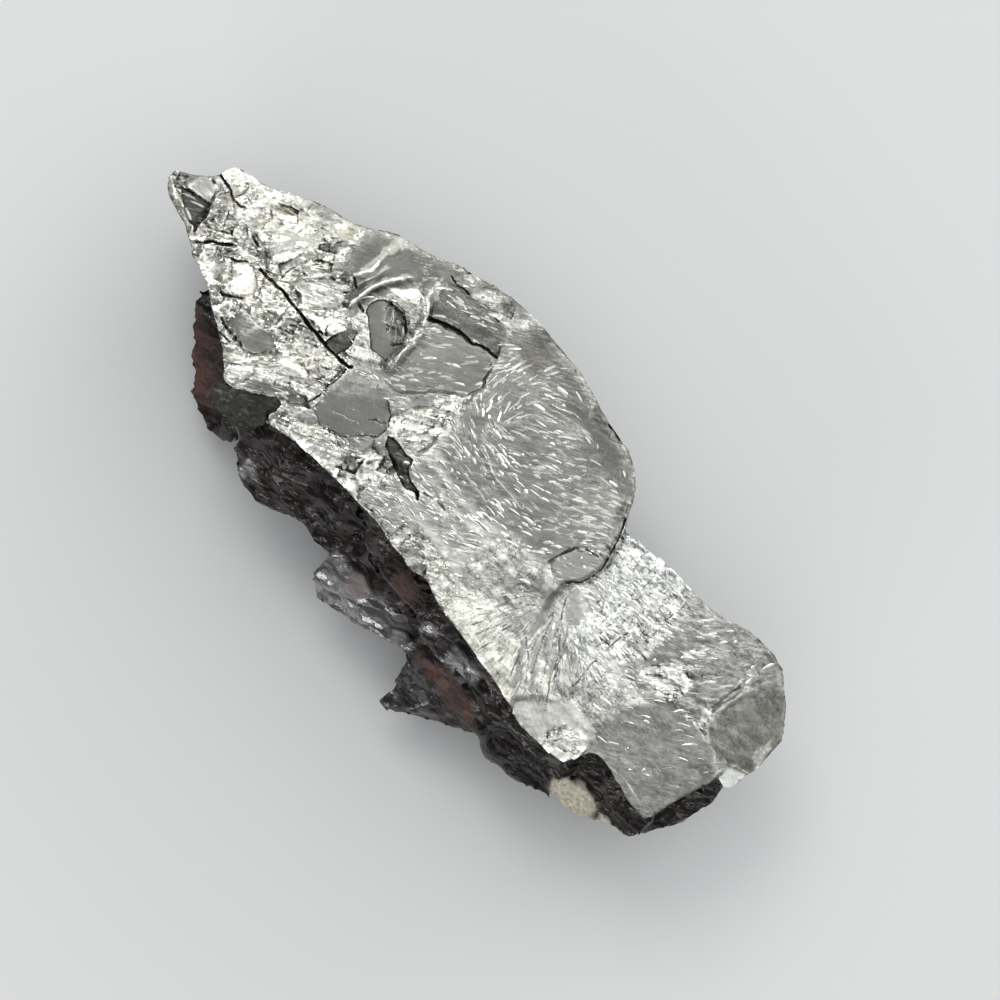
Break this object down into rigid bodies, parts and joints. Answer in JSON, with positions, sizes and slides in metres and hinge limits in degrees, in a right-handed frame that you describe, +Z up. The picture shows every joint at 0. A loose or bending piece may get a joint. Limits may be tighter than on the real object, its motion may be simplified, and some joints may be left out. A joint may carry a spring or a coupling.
{
  "type": "mineral specimen",
  "caption": "Hand specimen of noble shungite: a silvery, metallic broken face with shell-like chips, a pointed end and a steep dark flank with ledges.",
  "frame": {"origin": "on the surface the stone rests on, under the centre of its bounding box", "axes": "+X runs along the stone from the pointed end to the broad end, +Y from the steep dark flank to the thin rim, +Z up through the silvery face"},
  "size_m": [0.0504, 0.023, 0.0141],
  "materials": {
    "shungite_silver": "bright metallic on the broken face, near-black and dull on the flank"
  },
  "bodies": {
    "root": {"shungite": "shungite_silver"}
  },
  "joints": []
}
